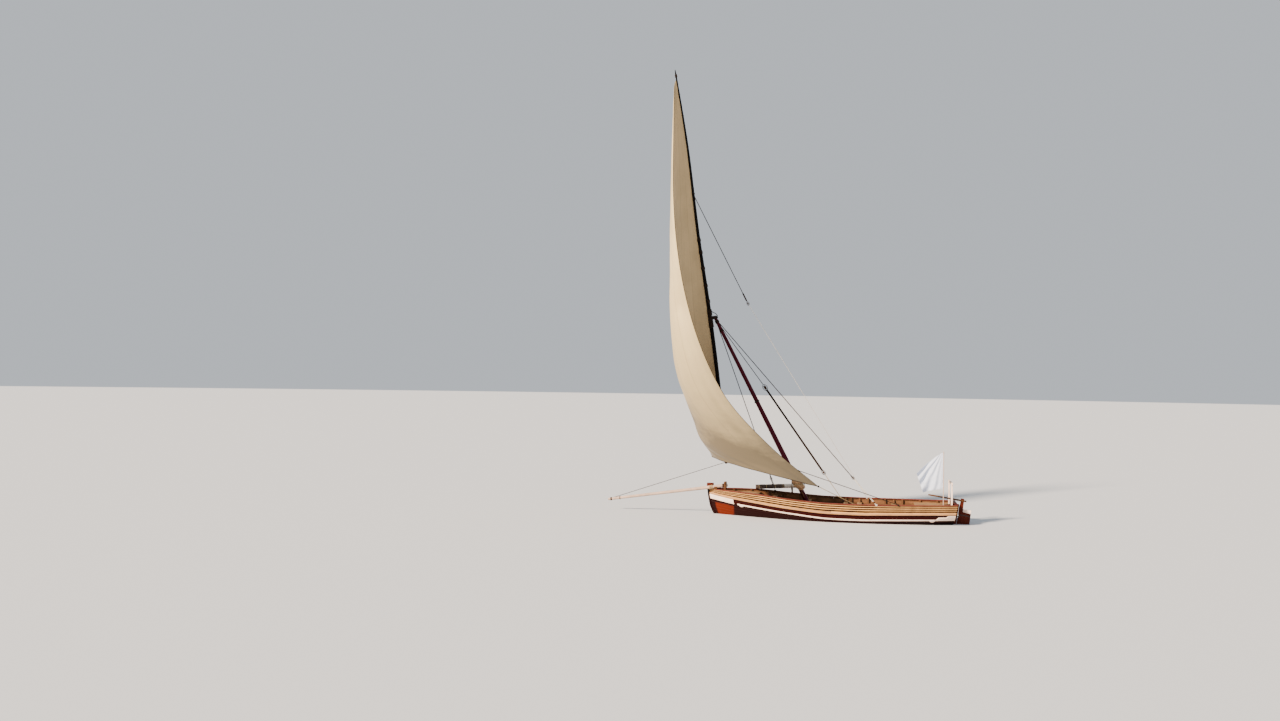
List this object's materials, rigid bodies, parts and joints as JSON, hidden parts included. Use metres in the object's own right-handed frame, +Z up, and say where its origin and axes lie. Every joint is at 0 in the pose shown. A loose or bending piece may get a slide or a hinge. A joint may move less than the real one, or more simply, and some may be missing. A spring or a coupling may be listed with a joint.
{
  "type": "dhow sailing boat",
  "caption": "Open wooden sailing dhow with planked hull, raked mast, long yard with lateen sail, bowsprit, stays, rudder with tiller and stern flag.",
  "frame": {"origin": "centre line of the hull amidships, at the waterline", "axes": "+X to the bow, +Y to port, +Z up"},
  "size_m": [16.3211, 5.5365, 21.1443],
  "materials": {
    "bottom_paint": "worn red-oxide paint on planks",
    "maroon_paint": "satin maroon paint on planks",
    "varnished_plank": "oiled light planks",
    "white_paint": "weathered white paint",
    "cream_paint": "weathered cream paint",
    "dark_red_paint": "satin dark red paint",
    "bare_timber": "rough bare timber",
    "deck_wood": "worn bare boards",
    "bare_pole": "peeled pole",
    "black_spar": "tarred pole",
    "sailcloth": "plain cotton canvas",
    "flagcloth": "plain pale cloth",
    "rope": "laid natural fibre",
    "dark_rope": "tarred laid fibre",
    "iron": "dull forged iron"
  },
  "bodies": {
    "hull": {"bottom_planking_port": "bottom_paint", "bottom_planking_starboard": "bottom_paint", "maroon_strake_port": "maroon_paint", "maroon_strake_starboard": "maroon_paint", "upper_planking_port": "varnished_plank", "upper_planking_starboard": "varnished_plank", "white_wale_port": "white_paint", "white_wale_starboard": "white_paint", "upper_wale_port": "cream_paint", "upper_wale_starboard": "cream_paint", "cap_rail_port": "dark_red_paint", "cap_rail_starboard": "dark_red_paint", "name_board_port": "white_paint", "name_board_starboard": "white_paint", "quarter_board_port": "white_paint", "quarter_board_starboard": "white_paint", "keel": "bottom_paint", "stem_post": "bottom_paint", "stem_head": "dark_red_paint", "stern_post": "dark_red_paint", "transom": "dark_red_paint", "taffrail": "dark_red_paint", "frames": "bare_timber", "keelson": "bare_timber", "floor_boards": "deck_wood", "thwart_1": "deck_wood", "thwart_2": "deck_wood", "thwart_3": "deck_wood", "thwart_4": "deck_wood", "thwart_5": "deck_wood", "fore_deck": "deck_wood", "aft_deck": "deck_wood", "mast": "dark_red_paint", "bowsprit": "bare_pole", "bow_bitt": "bare_timber", "bowsprit_chock": "bare_timber", "bowsprit_lashing": "rope", "yard_sling": "rope", "halyard_tackle": "dark_rope", "backstay_port": "rope", "shroud_starboard": "rope", "vang": "rope", "sheet": "rope", "tack_line": "dark_rope", "gudgeon_low": "iron", "gudgeon_high": "iron", "stern_frame": "white_paint", "flagstaff": "bare_pole", "flag": "flagcloth", "spare_sail_roll": "sailcloth", "crutch": "bare_timber", "mast_bundle": "rope"},
    "rig": {"yard_lower": "black_spar", "yard_upper": "black_spar", "yard_fish": "black_spar", "sail": "sailcloth"},
    "rudder": {"rudder_blade": "dark_red_paint", "rudder_cap": "cream_paint", "tiller": "bare_timber"}
  },
  "joints": [
    {"name": "rudder_turn", "type": "hinge", "parent": "hull", "child": "rudder", "pos_m": [-5.36777, 0, 0], "axis": [-0.1469, 0, 0.9892], "range_deg": [-35, 35]},
    {"name": "yard_swing", "type": "hinge", "parent": "hull", "child": "rig", "pos_m": [5.6445, 0.1185, 9], "axis": [0, 0, 1], "range_deg": [-30, 12], "deforming": ["yard_sling", "vang", "sheet", "tack_line"]}
  ]
}
